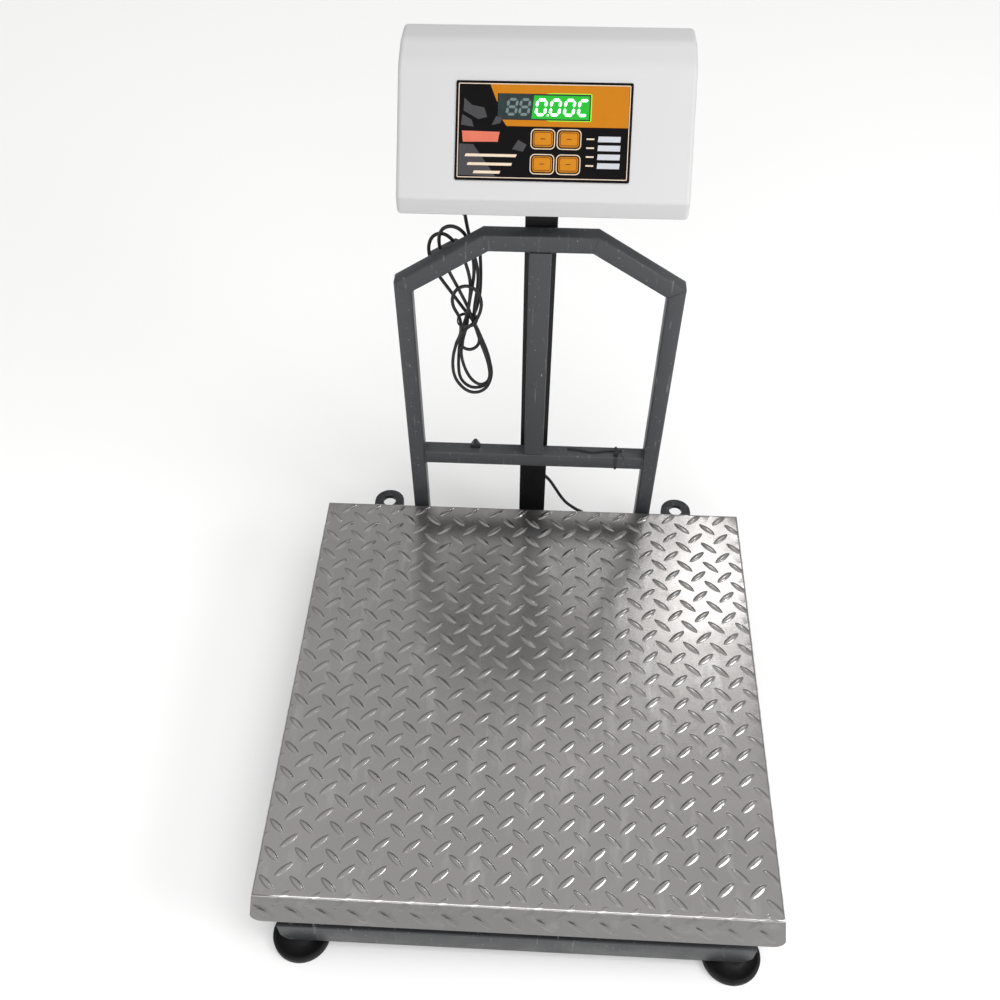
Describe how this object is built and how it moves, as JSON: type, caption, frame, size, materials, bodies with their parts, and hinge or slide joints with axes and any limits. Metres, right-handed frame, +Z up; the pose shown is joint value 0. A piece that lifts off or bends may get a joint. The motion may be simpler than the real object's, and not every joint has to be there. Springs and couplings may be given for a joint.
{
  "type": "platform scale",
  "caption": "Electronic platform scale: lift-off tread-plate pan on a load cell frame, tubular base with levelling feet, backrest, and a wedge indicator head on a post.",
  "frame": {"origin": "on the floor, under the middle of the scale's width and depth", "axes": "+X to the user's right, +Y from the user's side to the post, +Z up"},
  "size_m": [0.517, 0.663, 0.6427],
  "materials": {
    "battery_case": "sealed battery case",
    "black_plastic": "black moulded plastic",
    "board_green": "circuit board",
    "cell_alloy": "machined aluminium alloy",
    "coil_brown": "transformer core and winding",
    "cord_rubber": "smooth black cord sheath",
    "display_green": "display module with green digits",
    "display_smoke": "smoked display window",
    "frame_paint": "semi-gloss dark grey paint with weld beads and chips",
    "head_plastic": "white moulded plastic, semi-gloss",
    "key_orange": "orange key caps",
    "label_print": "printed black and orange film",
    "pad_rubber": "moulded black rubber",
    "post_paint": "semi-gloss near-black paint",
    "rocker_red": "red rocker cap",
    "tread_plate": "rolled tread plate with raised lozenges, polished",
    "zinc_steel": "zinc-plated steel"
  },
  "bodies": {
    "base": {"backrest_crossbar": "frame_paint", "backrest_left": "frame_paint", "backrest_right": "frame_paint", "backrest_top": "frame_paint", "backrest_upright": "frame_paint", "base_beam": "frame_paint", "base_rail_front": "frame_paint", "base_rail_left": "frame_paint", "base_rail_rear": "frame_paint", "base_rail_right": "frame_paint", "battery": "battery_case", "cable_gland": "black_plastic", "cell_bolt_fixed_front": "zinc_steel", "cell_bolt_fixed_rear": "zinc_steel", "cell_cable": "cord_rubber", "cord_hank": "cord_rubber", "crossbar_clip": "black_plastic", "display_module": "display_green", "display_window": "display_smoke", "fixing_lug_left": "frame_paint", "fixing_lug_right": "frame_paint", "head_back": "head_plastic", "head_bolt_left": "zinc_steel", "head_bolt_right": "zinc_steel", "head_shell": "head_plastic", "label_film": "label_print", "load_cell": "cell_alloy", "lower_spacer": "zinc_steel", "main_board": "board_green", "mains_cord": "cord_rubber", "mains_gland": "black_plastic", "mains_plug": "black_plastic", "overload_stop": "zinc_steel", "post": "post_paint", "post_plate": "post_paint", "switch_body": "black_plastic", "transformer": "coil_brown"},
    "weigh_frame": {"cell_bolt_loaded_front": "zinc_steel", "cell_bolt_loaded_rear": "zinc_steel", "upper_spacer": "zinc_steel", "weigh_beam": "frame_paint", "weigh_rail_front": "frame_paint", "weigh_rail_left": "frame_paint", "weigh_rail_rear": "frame_paint", "weigh_rail_right": "frame_paint"},
    "platform": {"pan": "tread_plate"},
    "foot_front_left": {"foot_pad_front_left": "pad_rubber", "foot_stud_front_left": "zinc_steel"},
    "foot_front_right": {"foot_pad_front_right": "pad_rubber", "foot_stud_front_right": "zinc_steel"},
    "foot_rear_left": {"foot_pad_rear_left": "pad_rubber", "foot_stud_rear_left": "zinc_steel"},
    "foot_rear_right": {"foot_pad_rear_right": "pad_rubber", "foot_stud_rear_right": "zinc_steel"},
    "key_lower_left": {"key_lower_left": "key_orange"},
    "key_lower_right": {"key_lower_right": "key_orange"},
    "key_upper_left": {"key_upper_left": "key_orange"},
    "key_upper_right": {"key_upper_right": "key_orange"},
    "power_rocker": {"power_rocker": "rocker_red"}
  },
  "joints": [
    {"name": "load_deflection", "type": "slide", "parent": "base", "child": "weigh_frame", "axis": [0, 0, 1], "range_m": [-0.0004, 0], "stiffness_N_per_m": 2500000},
    {"name": "pan_lift", "type": "slide", "parent": "weigh_frame", "child": "platform", "axis": [0, 0, 1], "range_m": [0, 0.05]},
    {"name": "foot_front_left_level", "type": "slide", "parent": "base", "child": "foot_front_left", "axis": [0, 0, 1], "range_m": [-0.012, 0]},
    {"name": "foot_front_right_level", "type": "slide", "parent": "base", "child": "foot_front_right", "axis": [0, 0, 1], "range_m": [-0.012, 0]},
    {"name": "foot_rear_left_level", "type": "slide", "parent": "base", "child": "foot_rear_left", "axis": [0, 0, 1], "range_m": [-0.012, 0]},
    {"name": "foot_rear_right_level", "type": "slide", "parent": "base", "child": "foot_rear_right", "axis": [0, 0, 1], "range_m": [-0.012, 0]},
    {"name": "key_lower_left_press", "type": "slide", "parent": "base", "child": "key_lower_left", "axis": [0, 0.7242, -0.6896], "range_m": [0, 0.0006], "stiffness_N_per_m": 3000},
    {"name": "key_lower_right_press", "type": "slide", "parent": "base", "child": "key_lower_right", "axis": [0, 0.7242, -0.6896], "range_m": [0, 0.0006], "stiffness_N_per_m": 3000},
    {"name": "key_upper_left_press", "type": "slide", "parent": "base", "child": "key_upper_left", "axis": [0, 0.7242, -0.6896], "range_m": [0, 0.0006], "stiffness_N_per_m": 3000},
    {"name": "key_upper_right_press", "type": "slide", "parent": "base", "child": "key_upper_right", "axis": [0, 0.7242, -0.6896], "range_m": [0, 0.0006], "stiffness_N_per_m": 3000},
    {"name": "power_rocker_tilt", "type": "hinge", "parent": "base", "child": "power_rocker", "pos_m": [0.09, 0.2845, 0.5328], "axis": [1, 0, 0], "range_deg": [-12, 0]}
  ]
}
